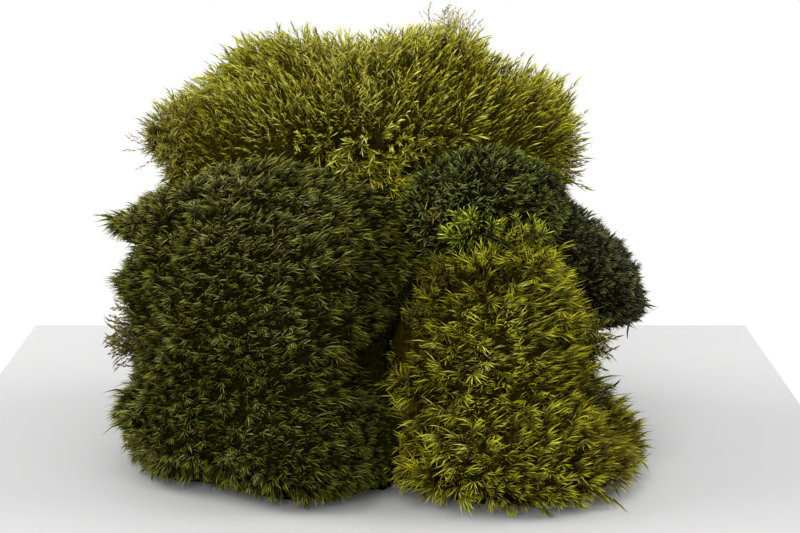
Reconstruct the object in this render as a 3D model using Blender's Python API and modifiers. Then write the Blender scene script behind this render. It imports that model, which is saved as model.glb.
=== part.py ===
"""A clump of moss: five shaggy cushions heaped together, standing on their own flat undersides.

Each cushion grew as one piece, so each is one solid. Its form is a few overlapping lumps fused
together, and its outside is raised in coarse tufts that reach as far as the tips of the shoots.
Metres, +Z up, X across the front, and the front of the clump faces -Y.
"""

import itertools
import math
import random

import bmesh
import bpy
from mathutils import Euler, Matrix, Vector, noise
from mathutils.bvhtree import BVHTree

# Driving dimensions of the clump.
CLUMP_WIDTH = 0.34
TUFT_SPACING = 0.0174
TUFT_HEIGHT = 0.0085
SEAM_GAP = 0.0008

# Low swellings all over a cushion.
SWELL_HEIGHT = 0.0035
SWELL_SIZE = 0.040

# How the lumps of a cushion fuse.
FUSE_VOXEL = 0.005
FUSE_ROUNDS = 30
FUSE_STRENGTH = 0.5

# How a tuft varies and leans, and how much of the room to its neighbours it may take.
TUFT_VARIATION = 0.35
TUFT_LEAN_UP = 0.45
TUFT_SHARE_OF_ROOM = 0.33
LEAST_ROOM = 0.007
LEAST_TUFT_AREA = 0.3
BASE_LEVEL = 0.0005
PARTING_ROUNDS = 12
SEED = 11

# Each cushion's lumps, as centre, radii and tilt about Y in degrees. Earlier cushions press into
# later ones.
CUSHIONS = {
    "upper_moss": {
        "colour": (0.155, 0.165, 0.022),
        "lumps": (
            ((-0.100, 0.022, 0.185), (0.052, 0.078, 0.035), -8),
            ((-0.055, 0.028, 0.199), (0.070, 0.090, 0.048), 0),
            ((0.018, 0.025, 0.201), (0.078, 0.096, 0.051), 0),
            ((0.075, 0.030, 0.189), (0.056, 0.084, 0.046), 17),
        ),
    },
    "middle_moss": {
        "colour": (0.035, 0.065, 0.026),
        "lumps": (
            ((0.040, -0.062, 0.155), (0.036, 0.046, 0.034), 0),
            ((0.070, -0.054, 0.159), (0.046, 0.056, 0.036), 10),
        ),
    },
    "front_moss": {
        "colour": (0.130, 0.150, 0.016),
        "lumps": (
            ((0.080, -0.088, 0.016), (0.081, 0.084, 0.048), 0),
            ((0.066, -0.074, 0.072), (0.065, 0.066, 0.058), 0),
            ((0.066, -0.064, 0.110), (0.046, 0.053, 0.044), 0),
            ((0.058, 0.025, 0.062), (0.064, 0.090, 0.092), 0),
        ),
    },
    "right_moss": {
        "colour": (0.028, 0.034, 0.020),
        "lumps": (
            ((0.096, -0.015, 0.128), (0.046, 0.066, 0.037), 32),
            ((0.134, -0.015, 0.104), (0.037, 0.054, 0.027), 38),
        ),
    },
    "left_moss": {
        "colour": (0.040, 0.055, 0.016),
        "lumps": (
            ((-0.066, -0.046, 0.090), (0.092, 0.099, 0.102), 0),
            ((-0.124, -0.040, 0.146), (0.040, 0.052, 0.024), -14),
            ((-0.114, -0.040, 0.080), (0.049, 0.072, 0.048), 0),
            ((-0.104, -0.058, 0.024), (0.057, 0.078, 0.042), 0),
            ((-0.040, -0.090, 0.026), (0.068, 0.076, 0.054), 0),
            ((0.000, -0.047, 0.125), (0.050, 0.060, 0.062), 0),
            ((-0.058, 0.052, 0.070), (0.092, 0.078, 0.104), 0),
        ),
    },
}


def clear_scene():
    for thing in list(bpy.data.objects):
        bpy.data.objects.remove(thing, do_unlink=True)


def moss_material(name, colour):
    material = bpy.data.materials.new(name)
    material.use_nodes = True
    surface = material.node_tree.nodes["Principled BSDF"]
    surface.inputs["Base Color"].default_value = (*colour, 1.0)
    surface.inputs["Roughness"].default_value = 0.85
    surface.inputs["Metallic"].default_value = 0.0
    return material


def new_object(name, mesh, collection):
    thing = bpy.data.objects.new(name, mesh)
    collection.objects.link(thing)
    return thing


def bake_modifiers(thing):
    """Makes what the modifiers give the object's own mesh."""
    bpy.context.view_layer.update()
    graph = bpy.context.evaluated_depsgraph_get()
    made = bpy.data.meshes.new_from_object(thing.evaluated_get(graph))
    thing.modifiers.clear()
    thing.data = made


def fused_lumps(name, lumps, collection):
    """One smooth closed form from overlapping ellipsoids, not yet cut by the table."""
    form = bmesh.new()
    for centre, radii, tilt in lumps:
        turn = Euler((0, math.radians(tilt), 0))
        place = Matrix.LocRotScale(Vector(centre), turn, Vector(radii))
        bmesh.ops.create_icosphere(form, subdivisions=4, radius=1.0, matrix=place)
    mesh = bpy.data.meshes.new(name)
    form.to_mesh(mesh)
    form.free()
    thing = new_object(name, mesh, collection)
    fuse = thing.modifiers.new("Fuse", "REMESH")
    fuse.mode = "VOXEL"
    fuse.voxel_size = FUSE_VOXEL
    soften = thing.modifiers.new("Soften", "SMOOTH")
    soften.factor = FUSE_STRENGTH
    soften.iterations = FUSE_ROUNDS
    bake_modifiers(thing)
    return thing


def swell(thing):
    """Moves the surface in and out a little, as no cushion grows even."""
    form = bmesh.new()
    form.from_mesh(thing.data)
    form.normal_update()
    for vertex in form.verts:
        height = noise.noise(vertex.co / SWELL_SIZE) * SWELL_HEIGHT
        vertex.co += vertex.normal * height
    form.to_mesh(thing.data)
    form.free()


def stand_on_table(thing):
    """Cuts the form off flat at z = 0, where it rests."""
    form = bmesh.new()
    form.from_mesh(thing.data)
    geometry = form.verts[:] + form.edges[:] + form.faces[:]
    cut = bmesh.ops.bisect_plane(
        form, geom=geometry, plane_co=(0, 0, 0), plane_no=(0, 0, -1), clear_outer=True
    )
    rim = [edge for edge in cut["geom_cut"] if isinstance(edge, bmesh.types.BMEdge)]
    if rim:
        bmesh.ops.triangle_fill(form, use_beauty=True, edges=rim)
        bmesh.ops.recalc_face_normals(form, faces=form.faces[:])
    form.to_mesh(thing.data)
    form.free()


def coarsen(thing):
    """Thins the form to one triangle for each tuft, and keeps its underside flat on the table."""
    area = sum(face.area for face in thing.data.polygons)
    thing.data.calc_loop_triangles()
    one_tuft = math.sqrt(3) / 4 * TUFT_SPACING**2
    thin = thing.modifiers.new("Thin", "DECIMATE")
    thin.ratio = min(1.0, area / one_tuft / len(thing.data.loop_triangles))
    bake_modifiers(thing)
    for vertex in thing.data.vertices:
        if vertex.co.z < BASE_LEVEL:
            vertex.co.z = 0.0


def room_outside(trees, point):
    """The distance from a point to the nearest neighbour."""
    return min(tree.find_nearest(point)[3] for tree in trees)


def raise_tufts(thing, neighbours, dice):
    """Raises each exposed triangle to a leaning point, as a tuft of shoots stands on the cushion.

    Gives where each tuft's tip started, by the number of its vertex.
    """
    form = bmesh.new()
    form.from_mesh(thing.data)
    bmesh.ops.triangulate(form, faces=form.faces[:])
    one_tuft = math.sqrt(3) / 4 * TUFT_SPACING**2
    exposed = []
    for face in form.faces:
        on_table = max(vertex.co.z for vertex in face.verts) < BASE_LEVEL
        in_seam = room_outside(neighbours, face.calc_center_median()) < LEAST_ROOM
        if not on_table and not in_seam and face.calc_area() > LEAST_TUFT_AREA * one_tuft:
            exposed.append(face)
    tips = bmesh.ops.poke(form, faces=exposed, offset=0.0, center_mode="MEAN")["verts"]
    form.normal_update()
    form.verts.index_update()
    started = {tip.index: tip.co.copy() for tip in tips}
    for tip in tips:
        height = TUFT_HEIGHT * (1 + TUFT_VARIATION * dice.uniform(-1, 1))
        height = min(height, TUFT_SHARE_OF_ROOM * room_outside(neighbours, tip.co))
        lean = tip.normal + Vector((0, 0, TUFT_LEAN_UP))
        tip.co += lean.normalized() * height
        tip.co.z = max(tip.co.z, 0.0)
    form.to_mesh(thing.data)
    form.free()
    return started


def grown_copy(thing, growth, collection):
    """A cutter: the cushion made larger all over by growth."""
    form = bmesh.new()
    form.from_mesh(thing.data)
    form.normal_update()
    for vertex in form.verts:
        vertex.co += vertex.normal * growth * vertex.calc_shell_factor()
    mesh = bpy.data.meshes.new(thing.name + "_cutter")
    form.to_mesh(mesh)
    form.free()
    cutter = new_object(mesh.name, mesh, collection)
    cutter.hide_render = True
    cutter.display_type = "WIRE"
    return cutter


def press_into(thing, cutter):
    """Hollows a cushion where the one above lies on it."""
    cut = thing.modifiers.new("Pressed by " + cutter.name, "BOOLEAN")
    cut.operation = "DIFFERENCE"
    cut.object = cutter
    bake_modifiers(thing)


def surface_tree(thing):
    form = bmesh.new()
    form.from_mesh(thing.data)
    tree = BVHTree.FromBMesh(form)
    form.free()
    return tree


def lower_tufts(thing, started, faces):
    """Lowers the tufts that the given faces belong to by half."""
    for face in faces:
        for number in thing.data.polygons[face].vertices:
            if number in started:
                tip = thing.data.vertices[number]
                tip.co = (tip.co + started[number]) / 2


def part_tufts(cushions, started):
    """Lowers tufts that reach into a neighbour until no two cushions meet."""
    for _ in range(PARTING_ROUNDS):
        surfaces = [surface_tree(cushion) for cushion in cushions]
        met = 0
        for first, second in itertools.combinations(range(len(cushions)), 2):
            pairs = surfaces[first].overlap(surfaces[second])
            met += len(pairs)
            lower_tufts(cushions[first], started[first], {pair[0] for pair in pairs})
            lower_tufts(cushions[second], started[second], {pair[1] for pair in pairs})
        if not met:
            break


def clump_box(things):
    corners = [vertex.co for thing in things for vertex in thing.data.vertices]
    low = Vector(min(corner[axis] for corner in corners) for axis in range(3))
    high = Vector(max(corner[axis] for corner in corners) for axis in range(3))
    return low, high


def centre_and_size(things):
    """Puts the origin under the middle of the clump, on the table, at its real width."""
    low, high = clump_box(things)
    middle = Vector(((low.x + high.x) / 2, (low.y + high.y) / 2, low.z))
    scale = CLUMP_WIDTH / (high.x - low.x)
    place = Matrix.Scale(scale, 4) @ Matrix.Translation(-middle)
    for thing in things:
        thing.data.transform(place)


def main():
    clear_scene()
    dice = random.Random(SEED)
    clump = bpy.data.collections.new("Moss clump")
    cutters = bpy.data.collections.new("Cutters")
    bpy.context.scene.collection.children.link(clump)
    bpy.context.scene.collection.children.link(cutters)
    cushions = []
    wholes = []
    for name, facts in CUSHIONS.items():
        cushion = fused_lumps(name, facts["lumps"], clump)
        swell(cushion)
        stand_on_table(cushion)
        coarsen(cushion)
        whole = grown_copy(cushion, SEAM_GAP, cutters)
        for cutter in wholes:
            press_into(cushion, cutter)
        cushions.append(cushion)
        wholes.append(whole)
    for cutter in wholes:
        bpy.data.objects.remove(cutter, do_unlink=True)
    bpy.data.collections.remove(cutters)
    surfaces = [surface_tree(cushion) for cushion in cushions]
    started = []
    for place, cushion in enumerate(cushions):
        neighbours = surfaces[:place] + surfaces[place + 1 :]
        started.append(raise_tufts(cushion, neighbours, dice))
        cushion.data.materials.clear()
        cushion.data.materials.append(moss_material(cushion.name, CUSHIONS[cushion.name]["colour"]))
    part_tufts(cushions, started)
    centre_and_size(cushions)


main()
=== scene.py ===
"""Dresses the moss clump: mats of old stems, their brown darkened with painted shade, and thousands of
leafy shoots growing from them.
"""
import math
import random
from collections import namedtuple

import bmesh
import bpy
import numpy as np
from mathutils import Matrix, Vector, noise
from mathutils.bvhtree import BVHTree
from mathutils.kdtree import KDTree


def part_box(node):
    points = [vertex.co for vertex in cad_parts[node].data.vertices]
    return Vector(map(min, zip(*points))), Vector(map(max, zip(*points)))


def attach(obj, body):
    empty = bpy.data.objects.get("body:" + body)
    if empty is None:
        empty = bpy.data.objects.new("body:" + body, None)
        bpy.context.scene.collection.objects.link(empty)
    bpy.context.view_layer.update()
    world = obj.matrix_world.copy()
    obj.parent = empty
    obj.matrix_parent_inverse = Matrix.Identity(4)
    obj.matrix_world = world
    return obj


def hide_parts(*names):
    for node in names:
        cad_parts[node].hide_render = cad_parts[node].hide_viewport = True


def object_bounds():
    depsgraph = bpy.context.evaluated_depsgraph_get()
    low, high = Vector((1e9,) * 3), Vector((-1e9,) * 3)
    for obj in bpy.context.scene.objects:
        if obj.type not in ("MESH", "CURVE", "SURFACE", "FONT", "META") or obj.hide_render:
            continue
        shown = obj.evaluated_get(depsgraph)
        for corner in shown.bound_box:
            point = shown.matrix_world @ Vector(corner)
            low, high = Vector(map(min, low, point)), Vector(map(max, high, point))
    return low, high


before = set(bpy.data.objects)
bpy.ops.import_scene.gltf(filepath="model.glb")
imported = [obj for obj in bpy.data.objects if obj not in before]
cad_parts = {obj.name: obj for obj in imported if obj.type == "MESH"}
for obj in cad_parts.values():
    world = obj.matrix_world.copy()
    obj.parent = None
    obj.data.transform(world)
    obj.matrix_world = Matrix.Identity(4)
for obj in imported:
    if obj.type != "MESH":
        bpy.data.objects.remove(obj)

cad_low, cad_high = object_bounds()

# Lengths are in metres. Shares, strengths and the tints of the leaf map run from 0 to 1.
UP = Vector((0, 0, 1))
WHITE = (1.0, 1.0, 1.0)
SEED = 7
WELD = 0.00001

# The colour sockets of a mix node.
MIX_FIRST = 6
MIX_SECOND = 7
MIX_RESULT = 2

# The photograph's view, a little down on the clump.
CAMERA_PLACE = Vector((0.0116, -1.2340, 0.3821))
CAMERA_PITCH = math.radians(12.3)
CAMERA_LENS = 90.0
SENSOR_WIDTH = 36.0

# The studio's softboxes: name, place, width, height and watts. All face one point.
SOFTBOXES = (
    ("top", (-0.10, 0.10, 2.40), 1.30, 0.80, 28.0),
    ("left", (-1.70, 0.30, 1.50), 1.20, 1.20, 56.0),
    ("right", (1.70, 0.30, 1.50), 1.20, 1.20, 46.0),
    ("front", (-0.50, -2.10, 1.20), 1.20, 1.20, 39.0),
)
SOFTBOX_COLOUR = (1.0, 0.99, 0.97)
LIT_POINT = Vector((0.0, 0.0, 0.10))
FILL_STRENGTH = 1.45

# The floor under the clump.
FLOOR_SIZE = (0.56, 0.66, 1.0)
FLOOR_PLACE = (0.004, -0.03, 0.0)
FLOOR_COLOUR = (0.235, 0.236, 0.239, 1.0)
FLOOR_ROUGHNESS = 0.7
FLOOR_SHINE = 0.3

# The finish of the leaves: what their colour is multiplied by in the foot's shade, and the pale tip.
LEAF_ROUGHNESS = 0.50
LEAF_SHINE = 0.07
SHADE_DARK = (0.012, 0.009, 0.004)
SHADE_DIM = (0.20, 0.18, 0.12)
# The pale tip is partly the leaves' own paler tips and partly a painted highlight.
TIP_AND_HIGHLIGHT_START = 0.82
TIP_AND_HIGHLIGHT_SHARE = 0.35

# The finish of the mats: shares of the moss's low colour at two heights of the grain, small enough
# that the mat's brown is darkened with painted shade between the shoots.
MAT_ROUGHNESS = 0.95
MAT_GRAIN = 450.0
MAT_DETAIL = 6.0
MAT_TONES_AND_SHADE = ((0.42, 0.08), (0.68, 0.22))
MAT_BUMP = 0.0015

# The finish of the loose strands, by their tint: near black, brown, green, rusty and straw.
STRAND_ROUGHNESS = 0.6
STRAND_SHINE = 0.15
STRAND_COLOURS = (
    (0.0, (0.010, 0.008, 0.004)),
    (0.2, (0.030, 0.026, 0.006)),
    (0.45, (0.130, 0.085, 0.020)),
    (0.6, (0.070, 0.085, 0.012)),
    (0.72, (0.052, 0.018, 0.009)),
    (0.8, (0.240, 0.230, 0.030)),
    (1.0, (0.420, 0.400, 0.070)),
)

# How the colour map of a leaf is laid out: tint across, height along.
MAP_NAME = "OFBake"
MAP_WIDTH = 0.004
MAP_LOW = 0.02
MAP_HIGH = 0.98

# How a cushion's smooth form is found under its tufts.
SKIN_VOXEL = 0.004
SKIN_ROUNDS = 7
SKIN_FACTOR = 0.5
TUFT_TIP_EDGES = 3

# How its surface swells and sinks: the size of the wide and the small lumps, and their shares.
WIDE_LUMP = 0.026
SMALL_LUMP = 0.011
WIDE_SHARE = 1.2
SMALL_SHARE = 0.6
LUMP_SHIFT = (5.2, 1.3)
SPOT_DEPTH = 2.2
LEAST_STRENGTH = 0.02

# The mat: how wide its roughness is and how high, and how far from a seam it starts to sink.
ROUGH_SIZE = 0.006
ROUGH_HEIGHT = 0.0008
SEAM_ROOM = 0.012

# Where a cushion stands on the floor, within FOOT_HEIGHT of it.
FLOOR_CLEAR = 0.0004
BASE_CLEAR = 0.004
UNDERSIDE = -0.4
FOOT_HEIGHT = 0.016
FOOT_TAPER = 0.002
FOOT_LIFT = 0.035
FOOT_SINK = 0.009
FOOT_INSET = 0.06
FOOT_LEAN = 0.95
FOOT_DROOP = 1.2
# Shoots near the floor are lightened with painted light against the shade there.
FOOT_PAINTED_LIGHT = 0.45

# Where shoots may stand: candidates for each that is kept, and how much open sky each needs.
CANDIDATES = 8
SIGHT = 0.05
START_CLEAR = 0.0015
LEAST_OPEN = 0.12
SKY_RINGS = ((0.0, 1), (0.6, 4), (1.2, 6))
SKY_RAYS = sum(count for _, count in SKY_RINGS)

# Which way they grow: the rise that all keep, their pull to the sky and the fan from the heart.
LEAST_RISE = 0.30
FAN_DEPTH = 0.4
FAN_FALL = 0.6
LIFT_TILT = 0.8
LIFT_LEAST = 0.2
SKY_PULL = 1.4
HOOK_ASIDE = 1.2
HOOK_OUT = 0.4
TUFT_REACH = 0.009
TUFT_TURN = 0.7
REACH_MARGIN = 0.014
SHRINK = 0.9

# How big they are: tall and short ones, smaller towards a tuft's edge, and a few long ones.
TALL_SHARE = 0.45
TALL_SIZES = (0.95, 1.20)
SHORT_SIZES = (0.62, 0.85)
TUFT_MIDDLE = 1.12
TUFT_EDGE_LOSS = 0.30
LONG_SHARE = 0.05
LONG_SIZE = 1.45

# Their tint: the middle, what tall and short ones add as painted light and shade of their depth,
# and how much patches, tufts and dice add.
MIDDLE_TINT = 0.5
TALL_LIGHT_TINT = 0.10
SHORT_SHADE_TINT = 0.14
PATCH_SIZE = 0.045
PATCH_SHIFT = (3.1, 7.7)
PATCH_TINT = 0.26
TUFT_TINT = 0.12
DICE_TINT = 0.10
# Shoots with little open sky, in the seams, are darkened with painted shade.
SEAM_PAINTED_SHADE = 0.55

# A shoot: its leaves turn by the golden angle, open widest at its foot and hook to one side.
SHOOT_KINDS = 6
GOLDEN_TURN = math.pi * (3 - math.sqrt(5))
TURN_SWING = 0.5
SIDE_PULL = 0.75
LOWEST_LEAF = 0.10
FOOT_OPENING = 1.3
OPENING_LOSS = 0.8
LEAF_SWING = (0.6, 1.4)
LEAF_HOOK = 1.6
LEAF_LENGTHS = (0.65, 1.15)
LEAF_LOSS = 0.20
LEAF_TAPER = 1.5
LEAF_BELLY = 0.7
TOP_LEAF_REACH = 0.8

# What a leaf map's height is made of: along the leaf, up the shoot, and painted shade on one side of the
# keel.
LIT_ALONG = 0.4
LIT_UP = 0.6
LIT_LEAST = 0.02
LIT_TIP = 0.58
KEEL_SHADE = 0.30
LEAF_SHIFT = 0.28

# The tufts of other shoots: how far their shoots stray, and their sizes and tints.
TUFT_STRAY = 0.6
TUFT_SIZES = (0.75, 1.2)
TUFT_TINTS = (0.5, 0.2)

# The loose strands.
STRAND_STEPS = 6
STRAND_SINK = 0.001
STRAND_TAPER = 1.05
STRAND_CURLS = (0.3, 1.2)
STRAND_LENGTHS = (0.6, 1.2)
STRAND_TINTS = 0.06
STRAND_MAP_FOOT = 0.1
STRAND_MAP_SPAN = 0.8

# A place where a moss differs: its radius, how far the surface rises there, and what is added to
# the size, the tint and the lean of the shoots. In some spots the tint paints light or shade.
Spot = namedtuple("Spot", "place radius rise size tint lean", defaults=((0.0, 0.0, 0.0),))

# Where one shoot stands: its kind, its foot, its three axes, its size and its tint.
Stand = namedtuple("Stand", "kind foot axes size tint")

# The two notches in the left cushion's side: x and y along them, and how deep the lower one goes.
UPPER_NOTCH = ((-0.158, -0.075), (-0.163, -0.035), (-0.163, 0.015), (-0.16, 0.065))
LOWER_NOTCH = (
    (-0.16, -0.07, -0.008), (-0.163, -0.02, -0.008),
    (-0.163, 0.035, -0.012), (-0.16, 0.085, -0.01),
)

# The cleft between the left and the front cushion, darkened with painted shade.
CLEFT = ((0.009, -0.09, 0.08), (0.009, -0.09, 0.06), (0.006, -0.118, 0.038))

# The spots of each cushion.
UPPER_SPOTS = (
    # The crest's left end, the lobe and its bright neighbour.
    ((-0.075, 0.06, 0.25), 0.03, -0.004, 0.25, -0.05, (-0.8, -0.2, 0.1)),
    ((-0.156, 0.02, 0.198), 0.016, 0.007, 0.3, -0.45, (-0.8, 0.0, 0.2)),
    ((-0.13, 0.0, 0.19), 0.03, 0.0, -0.45, -0.45),
    ((-0.12, -0.02, 0.18), 0.026, 0.0, -0.1, -0.15, (0.0, 0.0, -0.1)),
    ((-0.095, -0.025, 0.19), 0.026, 0.0, 0.1, 0.3),
    # The rim over the middle cushion.
    ((0.03, -0.046, 0.194), 0.012, -0.003, 0.05, 0.15, (0.2, -0.3, 0.0)),
    ((0.056, -0.037, 0.197), 0.012, -0.004, 0.05, 0.15, (0.2, -0.3, 0.0)),
    ((0.085, -0.03, 0.19), 0.012, -0.003, 0.05, 0.15, (0.2, -0.3, 0.0)),
    # The face lit with painted light in its shaded lower part, and the left end drawn in.
    ((-0.04, -0.02, 0.185), 0.055, 0.0, 0.15, 0.3),
    ((-0.15, 0.01, 0.168), 0.022, -0.017, -0.25, -0.1, (0.0, 0.0, -0.1)),
    ((-0.11, 0.04, 0.238), 0.026, -0.013, -0.25, 0.0),
    # The crest's dip, middle and peak, with a faint painted highlight over the middle, and the slope to
    # the right.
    ((-0.012, 0.06, 0.254), 0.026, -0.007, -0.1, 0.0),
    ((0.0, 0.02, 0.24), 0.07, 0.0, 0.1, 0.05),
    ((0.044, 0.06, 0.258), 0.018, 0.006, 0.2, 0.1, (0.0, 0.0, 0.3)),
    ((0.074, 0.055, 0.248), 0.014, -0.012, -0.25, -0.1),
    ((0.098, 0.055, 0.238), 0.022, -0.016, -0.3, -0.1),
    ((0.086, 0.04, 0.24), 0.014, -0.008, -0.35, -0.1),
    # The right end.
    ((0.128, 0.04, 0.212), 0.02, -0.007, 0.0, -0.15, (0.1, 0.0, 0.8)),
    ((0.128, 0.01, 0.175), 0.024, -0.013, -0.22, -0.35, (0.0, 0.0, 0.1)),
    ((0.095, 0.02, 0.205), 0.05, 0.0, 0.05, -0.46, (0.2, 0.0, 0.5)),
    # The drape over the left cushion.
    ((-0.01, -0.035, 0.182), 0.016, 0.003, 0.4, 0.35, (0.3, -0.3, -1.0)),
)
LEFT_SPOTS = (
    # The spur at the left, and that side's upper notch and bulges.
    ((-0.16, -0.048, 0.148), 0.008, 0.006, 1.2, 0.1, (-1.0, 0.0, -0.8)),
    *(((x, y, 0.131), 0.01, -0.016, -0.25, -0.2) for x, y in UPPER_NOTCH),
    ((-0.162, -0.045, 0.113), 0.012, 0.004, 0.5, 0.0, (-0.8, 0.0, 0.2)),
    ((-0.158, -0.055, 0.036), 0.012, 0.007, 0.6, 0.0, (-0.8, 0.0, -0.1)),
    # Painted shade in the dark cleft beside the front cushion, and in its hollow.
    ((0.012, -0.085, 0.108), 0.012, -0.004, -0.3, -0.4, (0.0, 0.0, 0.3)),
    *((place, 0.014, -0.007, -0.55, -0.8, (0.0, 0.0, 0.3)) for place in CLEFT),
    ((0.006, -0.085, 0.082), 0.01, -0.004, -0.6, -0.6),
    ((-0.006, -0.105, 0.077), 0.011, -0.01, -0.6, -1.0),
    ((0.006, -0.125, 0.015), 0.014, -0.005, -0.4, -0.6, (0.0, 0.0, 0.3)),
    # The face: lighter above with a painted greyish sheen, darker at the left.
    ((-0.11, -0.045, 0.17), 0.045, 0.0, 0.1, 0.3, (-0.1, 0.0, 0.2)),
    ((-0.045, -0.06, 0.17), 0.035, 0.0, 0.1, 0.22, (0.4, 0.0, 0.2)),
    ((-0.075, -0.095, 0.14), 0.034, 0.0, 0.05, 0.3),
    ((-0.08, -0.115, 0.09), 0.034, 0.0, 0.05, 0.16),
    ((-0.145, -0.06, 0.115), 0.034, 0.0, 0.1, -0.28, (-0.3, 0.0, 0.0)),
    # The lower notch, the foot darkened with painted shade, and the left side drawn in.
    *(
        ((x, y, 0.078), 0.014, rise, -0.1, -0.25, (-0.3, 0.0, -0.3))
        for x, y, rise in LOWER_NOTCH
    ),
    ((-0.06, -0.12, 0.03), 0.07, 0.0, 0.0, -0.22),
    ((-0.165, 0.0, 0.03), 0.045, -0.005, -0.05, 0.0),
    ((-0.165, 0.0, 0.11), 0.045, -0.003, -0.05, 0.0),
    ((-0.159, -0.068, 0.056), 0.01, -0.01, -0.3, -0.1),
    ((-0.16, -0.02, 0.165), 0.02, -0.006, -0.1, 0.0),
    ((-0.125, -0.1, 0.006), 0.035, -0.003, 0.05, -0.05, (0.0, 0.0, -0.3)),
    # The right flank, swept towards the cleft and darkened towards it with painted shade.
    ((-0.02, -0.11, 0.06), 0.04, 0.0, 0.25, 0.05, (0.5, 0.0, -0.1)),
    ((0.0, -0.12, 0.05), 0.022, -0.002, -0.1, -0.35),
    ((0.0, -0.08, 0.135), 0.034, 0.0, 0.1, -0.42, (0.7, 0.0, -0.2)),
    ((-0.018, -0.11, 0.08), 0.03, 0.0, 0.0, -0.24, (0.2, 0.0, -0.2)),
)
FRONT_SPOTS = (
    # The right edge: drawn in, ragged, and darker with painted shade under the right cushion.
    ((0.148, -0.08, 0.055), 0.035, -0.007, 0.0, -0.1, (0.0, 0.0, 0.3)),
    ((0.152, -0.09, 0.015), 0.03, -0.005, 0.0, -0.2, (0.3, 0.0, 0.2)),
    ((0.138, -0.05, 0.065), 0.014, 0.0, 0.3, -0.45, (0.6, 0.0, 0.0)),
    ((0.13, -0.068, 0.076), 0.018, -0.004, 0.0, -0.7, (0.3, 0.0, 0.2)),
    # The left edge, with the lobe that spreads low.
    ((0.035, -0.105, 0.115), 0.022, -0.003, 0.0, -0.28),
    ((0.03, -0.12, 0.04), 0.03, 0.0, 0.2, -0.08, (-0.5, 0.0, -0.2)),
    ((0.01, -0.11, 0.054), 0.015, 0.003, 0.3, 0.1, (-1.0, 0.0, -0.4)),
    ((0.014, -0.098, 0.074), 0.011, -0.002, -0.3, -0.4, (0.3, -0.2, 0.2)),
    ((0.055, -0.12, 0.035), 0.024, 0.0, 0.0, 0.12),
    # The crest, and painted shade in the dark valley at its left.
    ((0.082, -0.085, 0.146), 0.026, 0.007, 0.25, -0.02, (0.0, -0.2, 0.5)),
    ((0.03, -0.076, 0.12), 0.013, 0.0, 0.1, -0.4, (0.0, -0.3, 0.4)),
    ((0.018, -0.085, 0.099), 0.014, -0.002, -0.2, -0.55, (0.0, -0.3, 0.4)),
    ((0.012, -0.088, 0.082), 0.013, -0.003, -0.3, -0.5, (0.0, -0.3, 0.3)),
    # The face: brighter in the middle, and darker at the right with painted shade.
    ((0.13, -0.115, 0.03), 0.035, 0.0, 0.0, -0.24),
    ((0.07, -0.115, 0.065), 0.03, 0.0, 0.05, 0.14),
    ((0.08, -0.1, 0.11), 0.03, 0.0, 0.05, 0.1),
    ((0.11, -0.12, 0.05), 0.04, 0.0, 0.0, -0.2, (0.2, 0.0, 0.3)),
    ((0.105, -0.1, 0.09), 0.022, 0.0, 0.0, -0.16),
    ((0.15, -0.085, 0.04), 0.022, 0.0, 0.0, -0.3, (0.1, 0.0, 0.4)),
    ((0.142, -0.076, 0.058), 0.018, -0.01, -0.2, -0.2, (0.0, 0.0, 0.3)),
)
MIDDLE_SPOTS = (
    # Lighter at the left with a painted sheen, longer on top, and dark at the right with painted shade.
    ((0.04, -0.07, 0.18), 0.022, 0.0, 0.1, 0.25, (-0.1, 0.0, 0.0)),
    ((0.058, -0.055, 0.188), 0.024, 0.002, 0.15, 0.0, (0.0, 0.0, 0.4)),
    ((0.085, -0.085, 0.16), 0.022, 0.0, 0.0, -0.3),
    ((0.1, -0.04, 0.172), 0.024, 0.0, 0.0, -0.35),
)
RIGHT_SPOTS = (
    # The hanging end, and the dark underside.
    ((0.165, -0.032, 0.095), 0.016, 0.001, 0.4, -0.1, (0.4, 0.0, -0.3)),
    ((0.14, -0.015, 0.075), 0.014, -0.004, 0.0, -0.2),
)
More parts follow.
